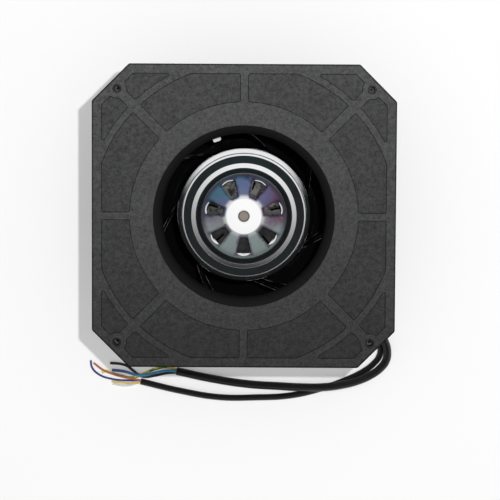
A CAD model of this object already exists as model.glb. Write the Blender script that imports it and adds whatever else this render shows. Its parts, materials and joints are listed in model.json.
# %% [markdown]
# # A centrifugal fan with an external-rotor motor
# The fan stands on its four struts, with its inlet upward, and turns about +Z. Its shapes come from a packed
# CAD model, and this script gives every piece its finish. It makes a few pieces itself: the drawn steel cup,
# whose curves carry clear reflections, the cables and wires, which lie loose, and the floors of the mounting
# holes. Everything is in metres, in the CAD model's own frame, so no piece needs fitting.

# %% The CAD model
import json
import math
import bmesh
import bpy
from mathutils import Matrix, Vector


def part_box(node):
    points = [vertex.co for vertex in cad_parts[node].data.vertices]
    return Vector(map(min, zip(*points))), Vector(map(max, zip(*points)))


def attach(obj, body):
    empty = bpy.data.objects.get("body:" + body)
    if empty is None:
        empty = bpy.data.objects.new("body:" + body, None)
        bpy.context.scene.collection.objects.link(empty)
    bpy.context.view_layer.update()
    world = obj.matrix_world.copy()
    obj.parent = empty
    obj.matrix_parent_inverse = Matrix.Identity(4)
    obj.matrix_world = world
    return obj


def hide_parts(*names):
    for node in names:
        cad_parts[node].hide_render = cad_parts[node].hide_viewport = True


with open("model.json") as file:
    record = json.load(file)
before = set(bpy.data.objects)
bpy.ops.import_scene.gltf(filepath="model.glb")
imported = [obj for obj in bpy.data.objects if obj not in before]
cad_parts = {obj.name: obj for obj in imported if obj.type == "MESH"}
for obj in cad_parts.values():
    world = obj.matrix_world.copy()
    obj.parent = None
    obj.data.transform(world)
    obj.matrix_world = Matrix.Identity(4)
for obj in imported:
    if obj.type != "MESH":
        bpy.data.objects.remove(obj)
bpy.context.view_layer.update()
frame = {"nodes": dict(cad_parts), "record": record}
nodes = frame["nodes"]
scene = bpy.context.scene
MM = 0.001


def reach(name):
    """How far a CAD piece reaches along X, and how low and how high it reaches, to the micrometre."""
    low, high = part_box(name)
    return round(high.x, 6), round(low.z, 6), round(high.z, 6)


print("CAD nodes:", len(nodes))

# %% [markdown]
# The camera looks almost straight down on the inlet from 1.6 m, a few degrees from the axis. A long lens at
# that distance keeps the square plate square, as in a catalogue. The camera is rolled by a third of a degree
# too, because the fan wasn't laid down quite straight.

# %% Camera
CAMERA_PLACE = Vector((0.00716, 0.10364, 1.6948))
CAMERA_AIM = Vector((0.00466, -0.02576, 0.1))
CAMERA_ROLL = math.radians(0.31)
camera_data = bpy.data.cameras.new("camera")
camera_data.lens = 154.4
camera_data.sensor_width = 36
camera_data.clip_end = 20
camera = bpy.data.objects.new("camera", camera_data)
scene.collection.objects.link(camera)
scene.camera = camera
backward = (CAMERA_PLACE - CAMERA_AIM).normalized()
sideways = Vector((0, 1, 0)).cross(backward).normalized()
upright = Matrix((sideways, backward.cross(sideways), backward)).transposed()
camera.location = CAMERA_PLACE
camera.rotation_euler = (upright @ Matrix.Rotation(CAMERA_ROLL, 3, "Z")).to_euler()
print("camera distance:", round((CAMERA_PLACE - CAMERA_AIM).length, 3))

# %% [markdown]
# Two cables leave the motor's back, come out from under the plate and lie on the floor. They end in coloured
# wires. A cable is a curve with a round section: one smooth spline through a few points keeps its bends
# soft, and the curve's own length is the cable's real length. The points are chosen by hand, and they are
# the ones that the CAD model's cables follow.

# %% Routes of the two cables
ROUTES = {
    "supply_cable": [
        (0.0412, -0.0352, 0.009), (0.0485, -0.0426, 0.00725), (0.0536, -0.0477, 0.00725),
        (0.0605, -0.0526, 0.0069), (0.0691, -0.0552, 0.0063), (0.0783, -0.0575, 0.0055),
        (0.0866, -0.0622, 0.0052), (0.093, -0.0696, 0.0052), (0.098, -0.0788, 0.0053),
        (0.1073, -0.0972, 0.0056), (0.1114, -0.1046, 0.006), (0.1138, -0.113, 0.0061),
        (0.1128, -0.121, 0.0062), (0.1076, -0.1276, 0.0066), (0.1, -0.1328, 0.007),
        (0.09, -0.137, 0.0079), (0.078, -0.14, 0.0084), (0.064, -0.1419, 0.0084),
        (0.048, -0.1425, 0.006), (0.028, -0.142, 0.0034), (0.004, -0.1406, 0.0032),
        (-0.024, -0.1366, 0.0032), (-0.0534, -0.1305, 0.0032),
    ],
    "control_cable": [
        (0.0361, -0.0403, 0.009), (0.0434, -0.0477, 0.00655), (0.0485, -0.0528, 0.00655),
        (0.0557, -0.0574, 0.0065), (0.0642, -0.0605, 0.0064), (0.0729, -0.0625, 0.0056),
        (0.0814, -0.0665, 0.0039), (0.0883, -0.0732, 0.0027), (0.0942, -0.084, 0.0025),
        (0.1046, -0.102, 0.0025), (0.1086, -0.111, 0.0025), (0.1076, -0.118, 0.0025),
        (0.1028, -0.1242, 0.0025), (0.095, -0.1301, 0.0025), (0.082, -0.1366, 0.0025),
        (0.062, -0.1438, 0.0025), (0.038, -0.1495, 0.0025), (0.01, -0.1513, 0.0025),
        (-0.02, -0.1512, 0.0025), (-0.05, -0.1464, 0.0025), (-0.0818, -0.139, 0.0025),
    ],
}
print("points on the cables:", sum(len(route) for route in ROUTES.values()))

# %% Routes of the seven wires
ROUTES.update({
    "blue_core": [
        (-0.0534, -0.1305, 0.0046), (-0.061, -0.1299, 0.0049), (-0.07, -0.1316, 0.0055),
        (-0.08, -0.1337, 0.0059), (-0.086, -0.1332, 0.0057), (-0.094, -0.1313, 0.0026),
        (-0.1047, -0.1302, 0.0011),
    ],
    "black_core": [
        (-0.0537, -0.1318, 0.0025), (-0.061, -0.1324, 0.0015), (-0.07, -0.1343, 0.0016),
        (-0.079, -0.1351, 0.0034), (-0.0836, -0.1335, 0.0035), (-0.088, -0.1304, 0.002),
        (-0.093, -0.1268, 0.0011), (-0.098, -0.1253, 0.0011), (-0.1063, -0.1246, 0.0011),
    ],
    "earth_core": [
        (-0.0532, -0.1292, 0.0025), (-0.061, -0.1277, 0.0013), (-0.069, -0.1288, 0.0011),
        (-0.08, -0.1332, 0.0011), (-0.0884, -0.1362, 0.0011), (-0.098, -0.1349, 0.0011),
        (-0.107, -0.132, 0.0011), (-0.1104, -0.131, 0.0011), (-0.1128, -0.1321, 0.0011),
    ],
    "red_core": [
        (-0.0817, -0.1382, 0.0034), (-0.088, -0.137, 0.0032), (-0.098, -0.1349, 0.0032),
        (-0.107, -0.132, 0.0032), (-0.112, -0.1298, 0.0028), (-0.1195, -0.1246, 0.0008),
    ],
    "dark_blue_core": [
        (-0.0817, -0.1382, 0.0016), (-0.089, -0.1386, 0.0008), (-0.107, -0.137, 0.0008),
        (-0.116, -0.1334, 0.0008), (-0.1208, -0.1282, 0.0008), (-0.1218, -0.1226, 0.0008),
    ],
    "yellow_core": [
        (-0.0821, -0.1399, 0.0034), (-0.088, -0.1403, 0.0031), (-0.096, -0.1404, 0.0008),
        (-0.1052, -0.1394, 0.0008),
    ],
    "white_core": [
        (-0.0821, -0.1399, 0.0016), (-0.093, -0.1426, 0.0008), (-0.1044, -0.1414, 0.0008),
    ],
})
print("leads:", len(ROUTES))

# %% [markdown]
# A curve's points have a radius, which scales the round section. Blender also counts it in metres when it
# works out the box of the curve, and then a thin wire seems to be metres thick. So the points get a tiny
# radius here, and the section is made larger by as much.

# %% Making a lead
POINT_SIZE = 0.0001


def make_lead(name, diameter):
    """A cable or a wire: a smooth curve through the points of its route, with a round section."""
    curve = bpy.data.curves.new(name, "CURVE")
    curve.dimensions = "3D"
    curve.bevel_depth = diameter / 2 / POINT_SIZE
    curve.bevel_resolution = 5
    curve.resolution_u = 10
    curve.use_fill_caps = True
    spline = curve.splines.new("BEZIER")
    route = ROUTES[name]
    spline.bezier_points.add(len(route) - 1)
    for point, place in zip(spline.bezier_points, route):
        point.co = place
        point.radius = POINT_SIZE
        point.handle_left_type = "AUTO"
        point.handle_right_type = "AUTO"
    lead = bpy.data.objects.new(name + "_lead", curve)
    scene.collection.objects.link(lead)
    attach(lead, "housing")
    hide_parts(name)
    return lead


def length_of(lead):
    """The length of a lead along its middle."""
    return lead.data.splines[0].calc_length()


# %% Cables and wires
DIAMETERS = {"supply_cable": 6.4 * MM, "control_cable": 5.0 * MM}
for wire in ("blue_core", "black_core", "earth_core"):
    DIAMETERS[wire] = 2.2 * MM
for wire in ("red_core", "dark_blue_core", "yellow_core", "white_core"):
    DIAMETERS[wire] = 1.6 * MM
leads = {name: make_lead(name, diameter) for name, diameter in DIAMETERS.items()}
bpy.context.view_layer.update()
for name, lead in leads.items():
    print(name, "is", round(length_of(lead) * 1000, 1), "mm long")

# %% [markdown]
# Each lead is declared with its real length, so that it can be measured. Two of the thin wires are shorter
# than a cord can be, so they go along with the control cable as pieces on it.

# %% Declaring the leads
SHORT_WIRES = ("yellow_core", "white_core")
for name, lead in leads.items():
    if name not in SHORT_WIRES:
        pieces_on_it = [leads[wire] for wire in SHORT_WIRES] if name == "control_cable" else ()
print("declared:", len(leads) - len(SHORT_WIRES), "cords")

# %% [markdown]
# A finish is worked out with nodes, and nodes get hard to read when each sum takes three lines. This small
# class holds one socket, so that `1 - mask * 0.3` can be written as it is said: every sign adds its Math
# node. Sums of plain numbers stay in Python.

# %% Sums on a finish's values
class Value:
    """A number that runs through a finish. A sum with it adds the Math node that works it out."""

    def __init__(self, finish, socket):
        self.finish = finish
        self.socket = socket

    def maths(self, operation, *numbers):
        """Adds a Math node for some numbers, or for this value alone."""
        inputs = dict(enumerate(numbers or [self]))
        return self.finish.node("ShaderNodeMath", {"operation": operation}, inputs)

    def __add__(self, other):
        return self.maths("ADD", self, other)

    def __radd__(self, other):
        return self.maths("ADD", other, self)

    def __sub__(self, other):
        return self.maths("SUBTRACT", self, other)

    def __rsub__(self, other):
        return self.maths("SUBTRACT", other, self)

    def __mul__(self, other):
        return self.maths("MULTIPLY", self, other)

    def __rmul__(self, other):
        return self.maths("MULTIPLY", other, self)

    def __truediv__(self, other):
        return self.maths("DIVIDE", self, other)

    def __rtruediv__(self, other):
        return self.maths("DIVIDE", other, self)

    def __pow__(self, other):
        return self.maths("POWER", self, other)

    def __gt__(self, other):
        return self.maths("GREATER_THAN", self, other)

    def __lt__(self, other):
        return self.maths("LESS_THAN", self, other)

    def __abs__(self):
        return self.maths("ABSOLUTE")

    def larger(self, other):
        """The larger of two values."""
        return self.maths("MAXIMUM", self, other)

    def waves(self, length):
        """0 to 1 and back over each length, as smooth as a sine."""
        return (self * (math.tau / length)).maths("SINE") * 0.5 + 0.5

    def fade(self, start, end):
        """0 at start and 1 at end, and smooth between."""
        return self.finish.node("ShaderNodeMapRange", {"interpolation_type": "SMOOTHSTEP"},
                                {"Value": self, "From Min": start, "From Max": end})


# %% [markdown]
# A finish is one material. Its one method `node` adds any node: first the settings, such as a ramp's stops,
# and then the values or links of its sockets. The rest are the few things that nearly every finish asks for:
# a place on the piece, grain of a certain size, a soft edge and the surface itself.

# %% A finish
class Finish:
    """A material in the making, with its nodes. The sky is made with it too, with the world as its owner."""

    def __init__(self, name, owner=None, place="Object"):
        self.owner = owner or bpy.data.materials.new(name)
        self.owner.use_nodes = True
        self.tree = self.owner.node_tree
        self.tree.nodes.clear()
        self.place = self.node("ShaderNodeTexCoord", output=place)

    def node(self, kind, settings=None, inputs=None, output=0):
        """Adds a node: its settings first, then its sockets. Gives one output."""
        made = self.tree.nodes.new(kind)
        for name, setting in (settings or {}).items():
            if name == "stops":
                self.set_stops(made.color_ramp, setting)
            else:
                setattr(made, name, setting)
        for name, value in (inputs or {}).items():
            if isinstance(value, Value):
                self.tree.links.new(value.socket, made.inputs[name])
            else:
                made.inputs[name].default_value = value
        return Value(self, made.outputs[output]) if made.outputs else None

    def set_stops(self, ramp, stops):
        """Gives a colour ramp its places and colours."""
        while len(ramp.elements) < len(stops):
            ramp.elements.new(1)
        for element, (position, colour) in zip(ramp.elements, stops):
            element.position = position
            element.color = (*colour, 1)

    def blend(self, factor, first, second):
        """One colour turning into another."""
        return self.node("ShaderNodeMix", {"data_type": "RGBA"},
                         {0: factor, 6: rgba(first), 7: rgba(second)}, output=2)

    def part_of_place(self, axis):
        """x, y or z on the piece, in metres."""
        return self.node("ShaderNodeSeparateXYZ", inputs={0: self.place}, output=axis)

    def radius(self):
        """The distance from the fan's axis."""
        flat = self.node("ShaderNodeVectorMath", {"operation": "MULTIPLY"}, {0: self.place, 1: (1, 1, 0)})
        return self.node("ShaderNodeVectorMath", {"operation": "LENGTH"}, {0: flat}, output="Value")

    def stretched(self, x, y, z):
        """The place on the piece, stretched, so that grain on it turns into streaks."""
        return self.node("ShaderNodeVectorMath", {"operation": "MULTIPLY"}, {0: self.place, 1: (x, y, z)})

    def grain(self, size, detail=3.0, place=None):
        """Soft noise whose blotches are about as large as size, from 0 to 1."""
        return self.node("ShaderNodeTexNoise", {"noise_dimensions": "3D"},
                         {"Vector": place or self.place, "Scale": 1 / size, "Detail": detail,
                          "Roughness": 0.6})

    def soft_edge(self, radius):
        """The surface's direction with every sharp edge rounded by a small radius."""
        return self.node("ShaderNodeBevel", {"samples": 6}, {"Radius": radius})

    def edge_mask(self, radius):
        """1 on the edges, inner and outer ones, and 0 on the faces."""
        straight = self.node("ShaderNodeNewGeometry", output="Normal")
        same = self.node("ShaderNodeVectorMath", {"operation": "DOT_PRODUCT"},
                         {0: straight, 1: self.soft_edge(radius)}, output="Value")
        return same.fade(0.995, 0.93)

    def bump(self, height, depth, edge=None):
        """The surface's direction after a relief of that depth, on top of its soft edges."""
        sockets = {"Height": height, "Distance": depth, "Strength": 1.0}
        if edge:
            sockets["Normal"] = edge
        return self.node("ShaderNodeBump", {}, sockets)

    def shader(self, changing, **constant):
        """The shader: sockets that change over the surface, and sockets that are the same all over it."""
        same = {name.replace("_", " "): value for name, value in constant.items()}
        return self.node("ShaderNodeBsdfPrincipled", inputs={**same, **changing})

    def surface(self, changing, **constant):
        """The finished material, with such a shader as its surface."""
        self.node("ShaderNodeOutputMaterial", inputs={0: self.shader(changing, **constant)})
        return self.owner


def rgba(colour):
    """A colour with its alpha, or a value as it is."""
    return colour if isinstance(colour, Value) else (*colour, 1)


def grey(level, blue=0.0):
    """A grey, a little bluer if asked."""
    return (level, level * (1 + blue * 0.4), level * (1 + blue))


# %% [markdown]
# The floor is white paper, and the light is a plain soft studio: a sky that is brightest overhead, and one
# small lamp beside the camera, which casts a clear shadow as large as the fan itself. Together they are
# about as bright as one, so a finish shows the colour that is written for it.

# %% The soft sky
SKY_LEVEL = 0.8
HORIZON = 0.28
OVERHEAD = 1 + HORIZON
BLACK = (0, 0, 0)
WHITE = (1, 1, 1)
scene.view_settings.view_transform = "Standard"
scene.world = bpy.data.worlds.new("sky")
air = Finish("sky", scene.world, "Generated")
height = air.part_of_place("Z")


def part_of_sky(colour, strength=1):
    """A sky of one colour, or of a blend of two."""
    return air.node("ShaderNodeBackground", inputs={"Color": rgba(colour), "Strength": strength})


brightness = height ** 4 + HORIZON
soft_sky = part_of_sky(air.blend(brightness / OVERHEAD, BLACK, WHITE), SKY_LEVEL * OVERHEAD)
print("sky", SKY_LEVEL)

# %% [markdown]
# Bare metal shows what it mirrors, so gloss sees the studio itself: white walls that are brightest at the
# back, and a dark ceiling. The front and the sides are dark high up, so that the thin flange round the rotor
# shines as a crescent at the back and nowhere else.

# %% The sky that gloss sees
back = air.part_of_place("Y") / air.radius()
side = air.part_of_place("X") / air.radius()
low = height.fade(0.62, 0.4)
wall = 0.95 - low * (0.42 - back * 0.46 - side * 0.06)
ceiling = height.fade(0.9, 0.975)
front = height.fade(0.71, 0.77) * back.fade(0.85, 0.15)
studio = air.blend(ceiling, air.blend(wall, BLACK, WHITE), (0.014, 0.024, 0.027))
studio = air.blend(front, studio, (0.01, 0.014, 0.015))
print("nodes in the soft sky and the studio:", len(air.tree.nodes))

# %% [markdown]
# The camera sees plain white behind the fan. Light Path tells which kind of ray asks, so one world can be
# white for the camera, a studio for gloss and a soft sky for everything that it lights.

# %% A sky for each kind of ray
camera_rays = air.node("ShaderNodeLightPath", output="Is Camera Ray")
glossy_rays = air.node("ShaderNodeLightPath", output="Is Glossy Ray")
clear_rays = air.node("ShaderNodeLightPath", output="Is Transmission Ray")
white_rays = (camera_rays + clear_rays).fade(0, 1)
lit_sky = air.node("ShaderNodeMixShader", inputs={0: glossy_rays, 1: soft_sky, 2: part_of_sky(studio)})
whole_sky = air.node("ShaderNodeMixShader", inputs={0: white_rays, 1: lit_sky, 2: part_of_sky(WHITE)})
air.node("ShaderNodeOutputWorld", inputs={0: whole_sky})
print("nodes in the whole sky:", len(air.tree.nodes))

# %% Lamp
LAMP_LEVEL = 16.2
LAMP_SIZE = 30 * MM
LAMP_ASIDE = Vector((0.15, 0.105, 0))
lamp_data = bpy.data.lights.new("lamp", "AREA")
lamp_data.energy = LAMP_LEVEL
lamp_data.shape = "DISK"
lamp_data.size = LAMP_SIZE
lamp = bpy.data.objects.new("lamp", lamp_data)
scene.collection.objects.link(lamp)
lamp.visible_glossy = False
lamp.location = CAMERA_PLACE + LAMP_ASIDE
lamp.rotation_euler = lamp.location.to_track_quat("Z", "Y").to_euler()
print("lamp", LAMP_LEVEL)

# %% [markdown]
# In this light, white paper would look light grey. So for the camera alone, it is mixed with a share of pure
# white, which lifts it and still leaves the fan's shadow on it.

# %% Floor
FLOOR_HALF = 3
FLOOR_DOWN = 0.2 * MM
PURE_WHITE = 0.25
floor_shape = bmesh.new()
bmesh.ops.create_grid(floor_shape, x_segments=1, y_segments=1, size=FLOOR_HALF)
floor_mesh = bpy.data.meshes.new("floor")
floor_shape.to_mesh(floor_mesh)
floor_shape.free()
floor = bpy.data.objects.new("floor", floor_mesh)
scene.collection.objects.link(floor)
floor.location.z = -FLOOR_DOWN
paper = Finish("white_paper")
fibres = paper.blend(paper.grain(0.4 * MM, 2), grey(0.965), grey(0.985))
lit = paper.shader({"Base Color": fibres}, Roughness=0.9, Specular_IOR_Level=0.1)
white = paper.node("ShaderNodeEmission", inputs={"Color": rgba(WHITE), "Strength": 1})
share = paper.node("ShaderNodeLightPath", output="Is Camera Ray") * PURE_WHITE
both = paper.node("ShaderNodeMixShader", inputs={0: share, 1: lit, 2: white})
paper.node("ShaderNodeOutputMaterial", inputs={0: both})
floor_mesh.materials.append(paper.owner)
print("floor:", 2 * FLOOR_HALF, "m wide")

# %% [markdown]
# The inlet plate is moulded in a dark grey glass-filled plastic. Its face is finely grained by the mould,
# with cloudy patches where the glass lies near the surface. The sunk panels are a shade darker than the ribs
# between them, and a thin dark line of dust follows each step and the plate's own outline.

# %% Plate
finishes = {}
PLATE_HALF, _, PLATE_FACE = reach("inlet_plate")
CORNER_CUT = 84.5 * MM
HOLE_FLOOR = PLATE_FACE - 8.8 * MM


def outline_nearness(x, y):
    """Half the plate's width on its outline, the cut corners too, and less inside it."""
    return abs(x).larger(abs(y)).larger(abs(x) + abs(y) - CORNER_CUT)


def moulded_grey():
    """The plate: grained plastic, darker in the sunk panels and along every step."""
    finish = Finish("grey_plastic")
    height = finish.part_of_place("Z")
    sunk = height.fade(PLATE_FACE - 0.2 * MM, PLATE_FACE - 0.5 * MM)
    top = height.fade(PLATE_FACE - 3 * MM, PLATE_FACE - 1 * MM)
    hole_floor = (height < HOLE_FLOOR + 0.1 * MM) * (height > HOLE_FLOOR - 0.1 * MM)
    clouds = finish.grain(15 * MM, 3)
    mottle = finish.grain(3.4 * MM, 3)
    speck = finish.grain(1.3 * MM, 2)
    x = finish.part_of_place("X")
    y = finish.part_of_place("Y")
    back = y / PLATE_HALF
    blotches = mottle.fade(0.24, 0.76) * 0.26 + speck.fade(0.24, 0.76) * 0.26
    uneven = (clouds * 0.18 + blotches - 0.35) * (1 + back * 0.4)
    tone = 0.5 + back * 0.19 + uneven
    border = outline_nearness(x, y).fade(PLATE_HALF - 1.3 * MM, PLATE_HALF - 0.7 * MM)
    tone = tone * (1 - sunk * 0.22) * (1 - finish.edge_mask(0.8 * MM) * 0.86) * (0.35 + top * 0.65)
    tone = tone * (1 - border * 0.7)
    colour = finish.blend(tone, BLACK, grey(0.106, 0.02))
    colour = finish.blend(hole_floor, colour, grey(0.1))
    relief = speck * 0.7 + mottle * 0.5
    return finish.surface({
        "Base Color": colour,
        "Roughness": 0.5 + mottle * 0.2,
        "Normal": finish.bump(relief, 0.09 * MM, finish.soft_edge(0.35 * MM)),
    }, IOR=1.5, Specular_IOR_Level=0.22)


finishes["grey_plastic"] = moulded_grey()
print("plate finished, its face at", round(PLATE_FACE / MM, 1), "mm")

# %% [markdown]
# The nozzle is the same moulding, but smooth and black, and it begins at the mouth. Inside the throat hardly
# any light comes back.

# %% Nozzle
def nozzle_black():
    """The nozzle: black plastic with faint flow lines round it and a paler lip at the mouth."""
    finish = Finish("nozzle_plastic")
    flow = finish.grain(3 * MM, 3, finish.stretched(1, 1, 4))
    haze = finish.grain(14 * MM, 2)
    radius = finish.radius()
    lip = radius.fade(59.5 * MM, 61.2 * MM)
    throat = radius.fade(55.8 * MM, 54.6 * MM)
    black = finish.blend(flow * 0.5 + haze * 0.5, grey(0.0055), grey(0.0085, 0.03))
    black = finish.blend(throat * 0.75, black, grey(0.001))
    return finish.surface({
        "Base Color": finish.blend(lip * 0.8, black, grey(0.0105)),
        "Roughness": 0.55 + haze * 0.2,
        "Normal": finish.bump(flow, 0.02 * MM, finish.soft_edge(0.3 * MM)),
    }, IOR=1.5, Specular_IOR_Level=0.04)


finishes["nozzle_plastic"] = nozzle_black()
print("nozzle finished")

# %% [markdown]
# The impeller is black plastic filled with short glass fibre. It looks almost black deep inside, and its
# thin blades only show where an edge catches the light, so the edges are worn a touch paler.

# %% Impeller
def impeller_black():
    """The impeller: deep black with pale, polished edges."""
    finish = Finish("impeller_plastic")
    fibre = finish.grain(1.2 * MM, 3, finish.stretched(1, 1, 0.35))
    cloud = finish.grain(11 * MM, 2)
    edge = finish.edge_mask(0.5 * MM) * cloud.fade(0.4, 0.62) * finish.radius().fade(52 * MM, 54 * MM)
    outside = finish.radius().fade(66 * MM, 80 * MM)
    black = finish.blend(fibre * 0.6 + cloud * 0.4, grey(0.0012), grey(0.0042))
    black = finish.blend(outside * (0.6 + fibre * 0.4), black, grey(0.013))
    return finish.surface({
        "Base Color": finish.blend(edge * (0.9 - outside * 0.75), black, grey(0.4)),
        "Roughness": 0.34 + fibre * 0.22,
        "Normal": finish.bump(fibre, 0.025 * MM, finish.soft_edge(0.5 * MM)),
    }, IOR=1.5, Specular_IOR_Level=0.07)


finishes["impeller_plastic"] = impeller_black()
print("impeller finished")

# %% [markdown]
# The other plastics and the rubber differ in tone, gloss and grain only, so one function makes them all from
# a short table. The coils' insulators are dusty, and they get a function of their own.

# %% Other plastics
def plain_plastic(name, dark, pale, gloss, grain_size, depth=0.03 * MM, shine=0.4):
    """A moulded or extruded plastic or rubber: two close tones, fine grain and soft edges."""
    finish = Finish(name)
    fine = finish.grain(grain_size, 3)
    broad = finish.grain(grain_size * 9, 2)
    return finish.surface({
        "Base Color": finish.blend(fine * 0.5 + broad * 0.5, dark, pale),
        "Roughness": gloss + broad * 0.16,
        "Normal": finish.bump(fine, depth, finish.soft_edge(0.25 * MM)),
    }, IOR=1.5, Specular_IOR_Level=shine)


def coil_insulation():
    """The insulators: grey moulding, dusty in the middle of each face and dark along its edges."""
    finish = Finish("insulation")
    fine = finish.grain(0.8 * MM, 3)
    dust = finish.grain(4 * MM, 3)
    rear = finish.part_of_place("Y").fade(-4 * MM, 9 * MM)
    face = finish.blend(dust.fade(0.36, 0.62) * (0.12 + rear * 0.88), grey(0.015), grey(0.15, -0.03))
    return finish.surface({
        "Base Color": finish.blend(finish.edge_mask(0.7 * MM) * 0.85, face, grey(0.003)),
        "Roughness": 0.5 + dust * 0.16,
        "Normal": finish.bump(fine, 0.05 * MM, finish.soft_edge(0.25 * MM)),
    }, IOR=1.5, Specular_IOR_Level=0.4)


PLASTICS = {
    "seal_rubber": (grey(0.008), grey(0.016), 0.62, 0.5 * MM, 0.04 * MM),
    "pale_nylon": ((0.6, 0.58, 0.5), (0.74, 0.73, 0.66), 0.35, 2 * MM),
    "chip": (grey(0.01), grey(0.02), 0.5, 0.3 * MM, 0.02 * MM),
    "capacitor_can": ((0.02, 0.028, 0.07), (0.035, 0.045, 0.1), 0.25, 3 * MM),
    "cable_sheath": (grey(0.004), grey(0.011), 0.3, 1.2 * MM, 0.03 * MM, 0.6),
}
for name, looks in PLASTICS.items():
    finishes[name] = plain_plastic(name, *looks)
finishes["insulation"] = coil_insulation()
print("plastics finished")

# %% [markdown]
# Bare and plated metals share one recipe: a pale colour, full metal, and a roughness that drifts over the
# surface. What tells them apart is the grain. Sheet shows long rolling streaks, a casting is pebbled, and a
# turned part carries fine rings round its axis.

# %% Metals
def metal(name, dark, pale, roughness, relief, depth, metallic=1.0):
    """A metal finish. relief is the function that gives the finish's grain, from 0 to 1."""
    finish = Finish(name)
    fine = relief(finish)
    broad = finish.grain(12 * MM, 3)
    bright = finish.blend(fine * 0.4 + broad * 0.6, dark, pale)
    return finish.surface({
        "Base Color": finish.blend(finish.edge_mask(0.3 * MM) * 0.5, bright, pale),
        "Roughness": roughness + fine * 0.1 + broad * 0.12,
        "Metallic": metallic,
        "Normal": finish.bump(fine, depth, finish.soft_edge(0.2 * MM)),
    })


def rolled(finish):
    """Streaks from rolling, and a faint spangle of zinc crystals."""
    spangle = finish.node("ShaderNodeTexVoronoi", {}, {"Vector": finish.place, "Scale": 1 / (4 * MM)},
                          "Distance")
    return finish.grain(0.9 * MM, 3, finish.stretched(1, 1, 0.08)) * 0.6 + spangle * 0.4


def pebbled(finish):
    """The skin of a die casting."""
    return finish.grain(0.5 * MM, 3)


def turned(finish):
    """Fine rings left by a turning tool."""
    return finish.radius().waves(0.35 * MM) * 0.5 + finish.grain(0.8 * MM, 2) * 0.5


def stacked(finish):
    """The edges of half-millimetre sheets in a stack."""
    return finish.part_of_place("Z").waves(0.5 * MM) * 0.7 + finish.grain(0.6 * MM, 2) * 0.3


METALS = {
    "zinc_sheet": (grey(0.34, 0.06), grey(0.56, 0.03), 0.3, rolled, 0.02 * MM),
    "cast_aluminium": (grey(0.42, 0.02), grey(0.62), 0.42, pebbled, 0.05 * MM),
    "screw_steel": (grey(0.38, 0.05), grey(0.62, 0.02), 0.24, turned, 0.01 * MM),
    "clip_steel": (grey(0.82, 0.01), grey(0.97), 0.3, rolled, 0.01 * MM, 0.2),
    "bearing_steel": (grey(0.5, 0.03), grey(0.68), 0.16, turned, 0.006 * MM),
    "laminations": (grey(0.14, 0.1), grey(0.3, 0.05), 0.34, stacked, 0.05 * MM),
}
for name, looks in METALS.items():
    finishes[name] = metal(name, *looks)
print("metals finished")

# %% [markdown]
# Inside the motor, the coils are wound from enamelled copper wire, the magnet ring is pressed ferrite under
# grey paint, and the circuit board has green solder mask over its copper. The wire's turns are drawn as fine
# ridges that run along each coil, and the board's tracks as a fine maze.

# %% Coils, magnets and board
def wound_copper():
    """Enamelled wire: ridges as wide as the wire, in a warm varnish."""
    finish = Finish("copper")
    wire = 0.5 * MM
    turns = finish.part_of_place("Z").waves(wire) * 0.5 + finish.radius().waves(wire) * 0.5
    varnish = finish.grain(2 * MM, 2)
    return finish.surface({
        "Base Color": finish.blend(turns * 0.7 + varnish * 0.3, (0.16, 0.045, 0.015), (0.6, 0.22, 0.075)),
        "Roughness": 0.22 + varnish * 0.15,
        "Metallic": 0.75,
        "Normal": finish.bump(turns, 0.12 * MM),
    })


def pressed_ferrite():
    """The magnets: dark, dense and slightly grainy under paint."""
    finish = Finish("magnet")
    grit = finish.grain(0.4 * MM, 3)
    return finish.surface({
        "Base Color": finish.blend(grit, grey(0.03, 0.1), grey(0.06, 0.05)),
        "Roughness": 0.5 + grit * 0.2,
        "Metallic": 0.25,
        "Normal": finish.bump(grit, 0.05 * MM, finish.soft_edge(0.3 * MM)),
    })


def circuit_green():
    """The board: green mask that is paler over its tracks."""
    finish = Finish("board")
    tracks = finish.node("ShaderNodeTexVoronoi", {"feature": "DISTANCE_TO_EDGE"},
                         {"Vector": finish.place, "Scale": 1 / (3.2 * MM)}, "Distance").fade(0.05, 0.09)
    cloud = finish.grain(5 * MM, 2)
    return finish.surface({
        "Base Color": finish.blend(tracks * 0.8 + cloud * 0.2, (0.02, 0.15, 0.06), (0.005, 0.06, 0.025)),
        "Roughness": 0.28 + cloud * 0.12,
        "Normal": finish.bump(tracks, 0.03 * MM),
    })


finishes["copper"] = wound_copper()
finishes["magnet"] = pressed_ferrite()
finishes["board"] = circuit_green()
print("motor finishes made")

# %% [markdown]
# The shaft's end is ground flat and a little brown from handling, with a dark ring where it meets the cup.

# %% Shaft
def ground_shaft():
    """The shaft: rings from grinding, brownish towards the middle, dark at the rim of its end."""
    finish = Finish("ground_steel")
    rings = turned(finish)
    patch = finish.grain(1.5 * MM, 3)
    rim = finish.radius().fade(2.9 * MM, 3.7 * MM)
    metal_tone = finish.blend(patch, (0.46, 0.38, 0.3), (0.66, 0.6, 0.52))
    return finish.surface({
        "Base Color": finish.blend(rim * 0.85, metal_tone, (0.06, 0.055, 0.05)),
        "Roughness": 0.42 + rings * 0.15,
        "Metallic": 0.75,
        "Normal": finish.bump(rings, 0.01 * MM, finish.soft_edge(0.2 * MM)),
    })


finishes["ground_steel"] = ground_shaft()
print("shaft finished")

# %% [markdown]
# The rotor is a cup drawn from steel sheet and plated with bright zinc. Its mirror-like curves show every
# facet of a coarse mesh, so the cup is made again here: one half section, with arcs where the sheet is bent,
# turned round the axis in 256 steps.

# %% Meshes in the making
def bridge(shape, ring, following):
    """Joins two rings of equally many points with a band of faces."""
    for k in range(len(ring)):
        after = (k + 1) % len(ring)
        shape.faces.new((ring[k], ring[after], following[after], following[k]))


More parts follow.
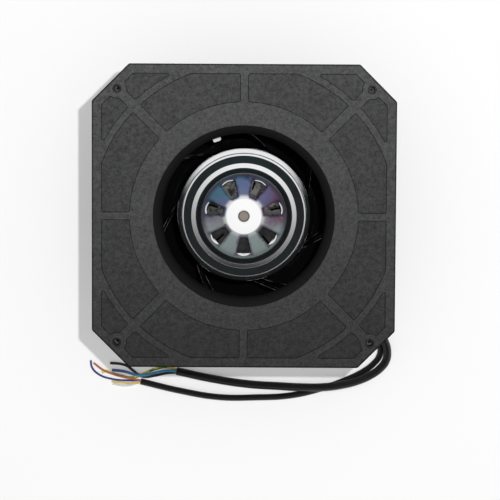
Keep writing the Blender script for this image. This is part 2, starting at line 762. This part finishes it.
def finished_mesh(name, shape):
    """The mesh of a shape in the making, with its faces turned outward."""
    bmesh.ops.recalc_face_normals(shape, faces=shape.faces)
    mesh = bpy.data.meshes.new(name)
    shape.to_mesh(mesh)
    shape.free()
    return mesh


def smooth(mesh, crease):
    """Smooth shading that stops at edges sharper than crease, in degrees."""
    mesh.shade_smooth()
    mesh.set_sharp_from_angle(angle=math.radians(crease))


def place_piece(name, mesh, body, finish, *replaced):
    """Puts a piece into the scene, on its body and with its finish, for the CAD pieces that it replaces."""
    mesh.materials.clear()
    mesh.materials.append(finishes[finish])
    piece = bpy.data.objects.new(name, mesh)
    scene.collection.objects.link(piece)
    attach(piece, body)
    if replaced:
        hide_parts(*replaced)
    print(name + ":", len(mesh.polygons), "faces")


# %% Turning a section round the axis
def arc(centre, radius, start, end, steps):
    """Points (r, z) on an arc, from one angle to the other, in degrees."""
    turns = [math.radians(start + (end - start) * i / steps) for i in range(steps + 1)]
    return [(centre[0] + radius * math.cos(t), centre[1] + radius * math.sin(t)) for t in turns]


def turned_mesh(name, section, steps=256):
    """A solid from a closed half section [(r, z), ...] in metres, turned round Z."""
    shape = bmesh.new()
    rings = []
    for i in range(steps):
        turn = math.tau * i / steps
        rings.append([shape.verts.new((r * math.cos(turn), r * math.sin(turn), z)) for r, z in section])
    for ring, following in zip(rings, rings[1:] + rings[:1]):
        bridge(shape, ring, following)
    return finished_mesh(name, shape)


# %% [markdown]
# From its rim the cup goes straight up. A thin flange stands out from it, level with the top of the
# impeller's hub, and shows as a bright crescent. The ring is the flat top of the wall. A step leads up to a
# narrow shelf, and from there the cap rises to its face. Round the shaft, the hub is pressed up a little
# more, and a short tube hangs from it inside. The CAD model gives the sizes that both models share.

# %% Sizes of the cup
ROTOR_R, ROTOR_Z, _ = reach("rotor_cup")
SHAFT_R, _, _ = reach("shaft")
_, _, FLANGE_Z = reach("impeller_back")
WALL_T = 2.8 * MM
CAP_T = 2.2 * MM
FLANGE_R = 49.9 * MM
RING_Z = 104 * MM
RING_R = 44.6 * MM
STEP_R = 39.2 * MM
SHELF_Z = 106.6 * MM
SHELF_OUT_R = 35.7 * MM
SHELF_IN_R = 32 * MM
FACE_Z = 109 * MM
FACE_R = 31 * MM
HUB_R = 13 * MM
HUB_Z = FACE_Z + 0.4 * MM
BORE_R = SHAFT_R + 0.05 * MM
TUBE_R = 8 * MM
TUBE_END_Z = 97 * MM
print("cup:", round(ROTOR_R / MM, 1), "mm in radius, from", round(ROTOR_Z / MM, 1), "mm up")


# %% The cup's section
def cup_section():
    """The cup's half section: up its outside from the rim, over the cap, then back along the inside."""
    inner_r = ROTOR_R - WALL_T
    ring_under = RING_Z - 2.5 * MM
    shelf_under = SHELF_Z - CAP_T
    face_under = FACE_Z - CAP_T
    outside = [(ROTOR_R - 0.6 * MM, ROTOR_Z), (ROTOR_R, ROTOR_Z + 0.6 * MM),
               (ROTOR_R, FLANGE_Z - 0.9 * MM), (FLANGE_R - 0.3 * MM, FLANGE_Z - 0.9 * MM),
               (FLANGE_R, FLANGE_Z - 0.6 * MM)]
    outside += arc((FLANGE_R - 0.4 * MM, FLANGE_Z - 0.4 * MM), 0.4 * MM, 0, 75, 6)
    outside += [(ROTOR_R, FLANGE_Z + 0.8 * MM)]
    outside += arc((ROTOR_R - 0.7 * MM, RING_Z - 1.6 * MM), 0.7 * MM, 0, 66, 6)
    outside += arc((RING_R, RING_Z - 0.8 * MM), 0.8 * MM, 66, 90, 4)
    outside += arc((STEP_R, RING_Z + 0.5 * MM), 0.5 * MM, 270, 235, 4)
    outside += arc((SHELF_OUT_R, SHELF_Z - 0.5 * MM), 0.5 * MM, 55, 90, 4)
    cap = arc((SHELF_IN_R, SHELF_Z + 0.5 * MM), 0.5 * MM, 270, 185, 5)
    cap += arc((FACE_R, FACE_Z - 0.4 * MM), 0.4 * MM, 8, 90, 6)
    cap += [(HUB_R + 0.8 * MM, FACE_Z), (HUB_R, HUB_Z),
            (SHAFT_R + 0.6 * MM, HUB_Z), (BORE_R, FACE_Z - 0.1 * MM)]
    inside = [(BORE_R, TUBE_END_Z), (TUBE_R - 2.4 * MM, TUBE_END_Z), (TUBE_R, TUBE_END_Z + 1.5 * MM),
              (TUBE_R, face_under - 1.5 * MM), (TUBE_R + 1.5 * MM, face_under),
              (FACE_R - 1.6 * MM, face_under), (FACE_R - 0.4 * MM, face_under - 0.6 * MM),
              (FACE_R + 0.2 * MM, shelf_under), (SHELF_OUT_R - 1.3 * MM, shelf_under),
              (STEP_R - 1.6 * MM, ring_under)]
    inside += arc((inner_r - 2 * MM, ring_under - 2 * MM), 2 * MM, 90, 0, 6)
    inside += [(inner_r, ROTOR_Z)]
    return outside + cap + inside


print("points in the section:", len(cup_section()))

# %% [markdown]
# Seven openings let air into the motor. Each is a rounded trapezium, narrower at the hub. Prisms over it, in
# its seven places, are taken out of the cap with one Boolean. The sheet is pressed down at each outer lip,
# so a second Boolean scoops the lips with oval rods that grow thinner towards their ends.

# %% Sizes of the openings
WINDOWS = 7
WINDOW_TURN = math.radians(360 / WINDOWS)
WINDOW_TURNS = [math.radians(270 + 360 / WINDOWS * k) for k in range(WINDOWS)]
WINDOW_IN_R = 15.6 * MM
WINDOW_OUT_R = 27.5 * MM
WINDOW_IN_W = 6 * MM
WINDOW_OUT_W = 11.8 * MM
WINDOW_CORNER_R = 1.5 * MM
CUT_HALF_H = 6 * MM
LIP_AT_R = WINDOW_OUT_R - 0.9 * MM
LIP_AT_Z = FACE_Z + 1.6 * MM
LIP_R = 3.7 * MM
LIP_H = 2.8 * MM
LIP_TAPER = 0.75
print("openings:", WINDOWS)

# %% Cutting the openings
def rounded_outline(points, radius, steps=5):
    """A closed outline with its corners rounded."""
    outline = []
    for i, corner in enumerate(points):
        here = Vector(corner)
        before = (Vector(points[i - 1]) - here).normalized()
        after = (Vector(points[(i + 1) % len(points)]) - here).normalized()
        half = before.angle(after) / 2
        centre = here + (before + after).normalized() * radius / math.sin(half)
        first = here + before * radius / math.tan(half) - centre
        last = here + after * radius / math.tan(half) - centre
        sweep = math.atan2(first.cross(last), first.dot(last))
        for k in range(steps + 1):
            outline.append(centre + Matrix.Rotation(sweep * k / steps, 2) @ first)
    return outline


def prism(shape, outline, low, high, turn):
    """Adds an upright prism over an outline to a mesh in the making, turned round the axis."""
    spin = Matrix.Rotation(turn, 4, "Z")
    bottom = [shape.verts.new(spin @ Vector((x, y, low))) for x, y in outline]
    top = [shape.verts.new(spin @ Vector((x, y, high))) for x, y in outline]
    shape.faces.new(bottom[::-1])
    shape.faces.new(top)
    bridge(shape, bottom, top)


def oval_rod(shape, turn, steps=10, sides=12):
    """Adds the rod that scoops an opening's outer lip, turned round the axis."""
    spin = Matrix.Rotation(turn, 4, "Z")
    reach_aside = WINDOW_OUT_W / 2 - 0.4 * MM
    rings = []
    for i in range(steps + 1):
        along = -reach_aside + 2 * reach_aside * i / steps
        taper = math.sqrt(1 - (along / reach_aside) ** 2 * LIP_TAPER)
        ring = []
        for k in range(sides):
            angle = math.tau * k / sides
            outward = LIP_AT_R + LIP_R * taper * math.cos(angle)
            up = LIP_AT_Z + LIP_H * taper * math.sin(angle)
            ring.append(shape.verts.new(spin @ Vector((outward, along, up))))
        rings.append(ring)
    shape.faces.new(rings[0][::-1])
    shape.faces.new(rings[-1])
    for ring, following in zip(rings, rings[1:]):
        bridge(shape, ring, following)


def cut(mesh, cutter_mesh):
    """The mesh with another one cut out of it."""
    piece = bpy.data.objects.new("cut_piece", mesh)
    cutter = bpy.data.objects.new("cutter", cutter_mesh)
    scene.collection.objects.link(piece)
    scene.collection.objects.link(cutter)
    boolean = piece.modifiers.new("cut", "BOOLEAN")
    boolean.operation = "DIFFERENCE"
    boolean.solver = "EXACT"
    boolean.object = cutter
    graph = bpy.context.evaluated_depsgraph_get()
    done = bpy.data.meshes.new_from_object(piece.evaluated_get(graph))
    bpy.data.objects.remove(piece)
    bpy.data.objects.remove(cutter)
    return done


# %% The cutters
window_outline = rounded_outline([
    (WINDOW_IN_R, -WINDOW_IN_W / 2), (WINDOW_OUT_R, -WINDOW_OUT_W / 2),
    (WINDOW_OUT_R, WINDOW_OUT_W / 2), (WINDOW_IN_R, WINDOW_IN_W / 2)], WINDOW_CORNER_R)
prisms = bmesh.new()
rods = bmesh.new()
for turn in WINDOW_TURNS:
    prism(prisms, window_outline, FACE_Z - CUT_HALF_H, FACE_Z + CUT_HALF_H, turn)
    oval_rod(rods, turn)
cutters = [finished_mesh("window_cutter", prisms), finished_mesh("lip_cutter", rods)]
print("cutters' faces:", [len(mesh.polygons) for mesh in cutters])

# %% [markdown]
# The zinc's thin protective film shows in tints on the cap: grey at the front, then violet, and blue at the
# back. Round each opening they are darker, teal to one side and wine red to the other. The hub is turned
# bare, so it is pale and matt.

# %% Round the openings
def window_halo(finish):
    """1 close round the cap's openings and 0 away from them."""
    x = finish.part_of_place("X")
    y = finish.part_of_place("Y")
    turn = x.maths("ARCTAN2", x, 0 - y) / WINDOW_TURN + 0.5
    near = (turn - turn.maths("FLOOR")) * WINDOW_TURN - WINDOW_TURN / 2
    radius = finish.radius()
    along = radius * near.maths("COSINE")
    across = abs(radius * near.maths("SINE"))
    widening = (WINDOW_OUT_W - WINDOW_IN_W) / 2 / (WINDOW_OUT_R - WINDOW_IN_R)
    beside = across - WINDOW_IN_W / 2 - (along - WINDOW_IN_R) * widening
    wander = (finish.grain(3 * MM, 2) - 0.5) * 4 * MM
    beyond = (along - WINDOW_OUT_R).fade(2.6 * MM, 0.8 * MM)
    return (beside + wander).fade(1.9 * MM, 0) * (WINDOW_IN_R - along).fade(2.8 * MM, 0.8 * MM) * beyond


def burnt_tint(finish, drift):
    """The tint round an opening: teal at one side, wine red at the other and grey at the front."""
    aside = finish.part_of_place("X") / (16 * MM) + 0.5
    behind = (finish.part_of_place("Y") + drift).fade(-12 * MM, 4 * MM)
    burnt = finish.blend(aside, (0.02, 0.07, 0.11), (0.07, 0.015, 0.07))
    return finish.blend(behind, (0.12, 0.11, 0.14), burnt)


# %% Tints of the cap's face
TINTS = [
    (0.0, (0.27, 0.33, 0.32)), (0.3, (0.34, 0.4, 0.41)), (0.44, (0.27, 0.26, 0.29)),
    (0.54, (0.2, 0.19, 0.3)), (0.68, (0.13, 0.15, 0.27)), (0.8, (0.16, 0.16, 0.3)),
    (0.9, (0.12, 0.2, 0.36)), (1.0, (0.04, 0.06, 0.12)),
]


def face_tints(finish, drift, halo, burnt):
    """Bands of tint from the front of the face to its back, red to one side and teal to the other."""
    x = finish.part_of_place("X")
    y = finish.part_of_place("Y")
    bands = finish.node("ShaderNodeValToRGB", {"stops": TINTS}, {0: (y + drift + FACE_R) / (2 * FACE_R)})
    reds = (x + drift).fade(14 * MM, 26 * MM) * (y + drift).fade(-8 * MM, 4 * MM)
    tints = finish.blend(reds * 0.7, bands, (0.16, 0.035, 0.07))
    teals = (drift * 1.3 - x).fade(6 * MM, 16 * MM) * (y - drift).fade(8 * MM, 16 * MM)
    tints = finish.blend(teals * 0.7, tints, (0.05, 0.2, 0.27))
    tints = finish.blend(halo * 0.85, tints, burnt)
    at_rim = finish.radius().fade(FACE_R - 4 * MM, FACE_R)
    rim_shade = at_rim * (0.45 + (y + drift).fade(-22 * MM, 6 * MM) * 0.5)
    return finish.blend(rim_shade * 0.9, tints, (0.05, 0.045, 0.07))


# %% The drawn cup's finish
def drawn_steel():
    """The cup: mirror-like zinc, a pale turned hub, and the tints on the cap's face."""
    finish = Finish("cup_steel")
    radius = finish.radius()
    height = finish.part_of_place("Z")
    fine = finish.grain(0.6 * MM, 3)
    broad = finish.grain(7 * MM, 3)
    on_face = height.fade(FACE_Z - 0.16 * MM, FACE_Z - 0.06 * MM) * radius.fade(FACE_R + 0.6 * MM, FACE_R)
    on_hub = height.fade(FACE_Z + 0.1 * MM, FACE_Z + 0.3 * MM) * radius.fade(HUB_R + 0.3 * MM, HUB_R)
    below = height.fade(FACE_Z - 0.5 * MM, FACE_Z - 1.5 * MM)
    well = below * radius.fade(FACE_R - 1.2 * MM, FACE_R - 1.6 * MM)
    beyond_cap = radius.fade(FACE_R - 0.3 * MM, FACE_R)
    step = radius.fade(SHELF_OUT_R - 0.5 * MM, SHELF_OUT_R - 1.3 * MM) * beyond_cap
    cap_edge = beyond_cap * radius.fade(SHELF_IN_R, SHELF_IN_R - 0.4 * MM)
    below_ring = height.fade(RING_Z - 1.8 * MM, RING_Z - 2.6 * MM)
    wall = below_ring * radius.fade(ROTOR_R + 0.5 * MM, ROTOR_R + 0.1 * MM)
    halo = window_halo(finish)
    drift = (broad - 0.5) * 20 * MM
    burnt = burnt_tint(finish, drift)
    plated = finish.blend(broad * 0.5 + fine * 0.2, grey(0.78, 0.02), grey(0.96, 0.02))
    plated = finish.blend(step * 0.5, plated, (0.1, 0.085, 0.07))
    plated = finish.blend(cap_edge * 0.95, plated, (0.02, 0.018, 0.022))
    face = finish.blend(on_face * (1 - on_hub), plated, face_tints(finish, drift, halo, burnt))
    upper = (finish.part_of_place("Y") + drift).fade(-14 * MM, 6 * MM)
    glow = on_face * radius.fade(HUB_R + 4 * MM, HUB_R + 0.6 * MM) * (1 - halo) * (0.5 + upper * 0.4)
    face = finish.blend(glow, face, grey(0.9))
    hub = on_hub * (1 - halo * upper)
    colour = finish.blend(hub, finish.blend(on_hub, face, burnt), grey(0.95))
    colour = finish.blend(well * 0.9, colour, (0.02, 0.016, 0.024))
    return finish.surface({
        "Base Color": colour,
        "Roughness": 0.08 + broad * 0.05 + on_face * 0.22 + hub * 0.3,
        "Metallic": 1 - hub * 0.85 - on_face * (1 - hub) * 0.55 - wall * 0.7,
        "Normal": finish.bump(fine * 0.4 + turned(finish) * 0.6, 0.004 * MM),
    })


finishes["cup_steel"] = drawn_steel()
print("cup finished")

# %% The drawn cup
cup_mesh = turned_mesh("rotor_cup", cup_section())
for cutter_mesh in cutters:
    cup_mesh = cut(cup_mesh, cutter_mesh)
smooth(cup_mesh, 28)
place_piece("drawn_cup", cup_mesh, "rotor", "cup_steel", "rotor_cup")

# %% [markdown]
# The four mounting holes end blind: a thin skin of the moulding closes each of them near the plate's back.

# %% Floors of the mounting holes
plate_holes = next(mount for mount in frame["record"]["mounts"] if mount["name"] == "plate_holes")
HOLE_R = plate_holes["dims"]["hole_r_mm"] * MM
HOLE_AT = plate_holes["dims"]["spacing_x_mm"] / 2 * MM
SKIN_T = 1.2 * MM
DIMPLE_R = HOLE_R * 0.45
DIMPLE_FLOOR_R = HOLE_R * 0.3
DIMPLE_T = 0.25 * MM


def hole_floor(shape, x, y, steps=32):
    """Adds one thin disc with a shallow dimple in its middle."""
    profile = [(HOLE_R, -SKIN_T), (HOLE_R, 0), (DIMPLE_R, 0), (DIMPLE_FLOOR_R, -DIMPLE_T)]
    turns = [math.tau * k / steps for k in range(steps)]
    rings = []
    for r, z in profile:
        circle = [Vector((r * math.cos(turn), r * math.sin(turn), z)) for turn in turns]
        rings.append([shape.verts.new(Vector((x, y, HOLE_FLOOR)) + point) for point in circle])
    for ring, following in zip(rings, rings[1:]):
        bridge(shape, ring, following)
    shape.faces.new(rings[0][::-1])
    shape.faces.new(rings[-1])


discs = bmesh.new()
for x in (-HOLE_AT, HOLE_AT):
    for y in (-HOLE_AT, HOLE_AT):
        hole_floor(discs, x, y)
floors_mesh = finished_mesh("hole_floors", discs)
smooth(floors_mesh, 32)
place_piece("hole_floors", floors_mesh, "housing", "grey_plastic")

# %% [markdown]
# The wires are glossy, each in its own colour. The light blue one has darkened towards its tip, and the
# earth wire is green with a yellow stripe that winds round it: a sine of the place across the wire gives the
# stripe, and a slower one along X winds it.

# %% Wires
def wire_insulation(name, dark, pale, aged=None):
    """A wire: glossy insulation, slightly cloudy, with an aged tint towards its tip if it has one."""
    finish = Finish(name)
    cloud = finish.grain(3 * MM, 2)
    colour = finish.blend(cloud, dark, pale)
    if aged:
        tint, start, end = aged
        colour = finish.blend(finish.part_of_place("X").fade(start, end) * 0.9, colour, tint)
    return finish.surface({
        "Base Color": colour,
        "Roughness": 0.3 + cloud * 0.12,
        "Normal": finish.bump(finish.grain(0.5 * MM, 2), 0.01 * MM),
    }, IOR=1.5)


def earth_stripes():
    """The earth wire: green and yellow side by side."""
    finish = Finish("earth_insulation")
    winding = (finish.part_of_place("X") * 420).maths("SINE") * 0.9 * MM
    across = winding + finish.part_of_place("Y") * 0.6 + finish.part_of_place("Z")
    stripe = (across * 1600).maths("SINE").fade(-0.1, 0.1)
    return finish.surface({
        "Base Color": finish.blend(stripe, (0.12, 0.3, 0.05), (0.75, 0.68, 0.08)),
        "Roughness": 0.3 + finish.grain(2 * MM, 2) * 0.15,
        "Normal": finish.bump(finish.grain(0.5 * MM, 2), 0.01 * MM),
    }, IOR=1.5)


WIRES = {
    "light_blue_insulation": ((0.04, 0.2, 0.4), (0.09, 0.34, 0.6), ((0.05, 0.08, 0.3), -80 * MM, -98 * MM)),
    "black_insulation": (grey(0.012), grey(0.035)),
    "red_insulation": ((0.36, 0.085, 0.045), (0.6, 0.19, 0.11)),
    "dark_blue_insulation": ((0.02, 0.03, 0.12), (0.05, 0.07, 0.26)),
    "yellow_insulation": ((0.66, 0.45, 0.1), (0.8, 0.62, 0.24)),
    "white_insulation": (grey(0.62, -0.05), grey(0.8, -0.02)),
}
for name, looks in WIRES.items():
    finishes[name] = wire_insulation(name, *looks)
finishes["earth_insulation"] = earth_stripes()
print("wires finished")

# %% [markdown]
# The record says which slot each piece takes its finish from. The leads get theirs first, and then every
# piece of the CAD model that is shown as it is.

# %% Finishes for the leads
slots = {entry["node"]: entry["material_slot"] for entry in frame["record"]["subparts"]}
for name, lead in leads.items():
    lead.data.materials.append(finishes[slots[name]])
print("leads finished")

# %% Finishes for the CAD pieces
for name, node in nodes.items():
    for material_slot in node.material_slots:
        material_slot.link = "OBJECT"
        material_slot.material = finishes[slots[name]]
print("finished", len(nodes), "CAD pieces")
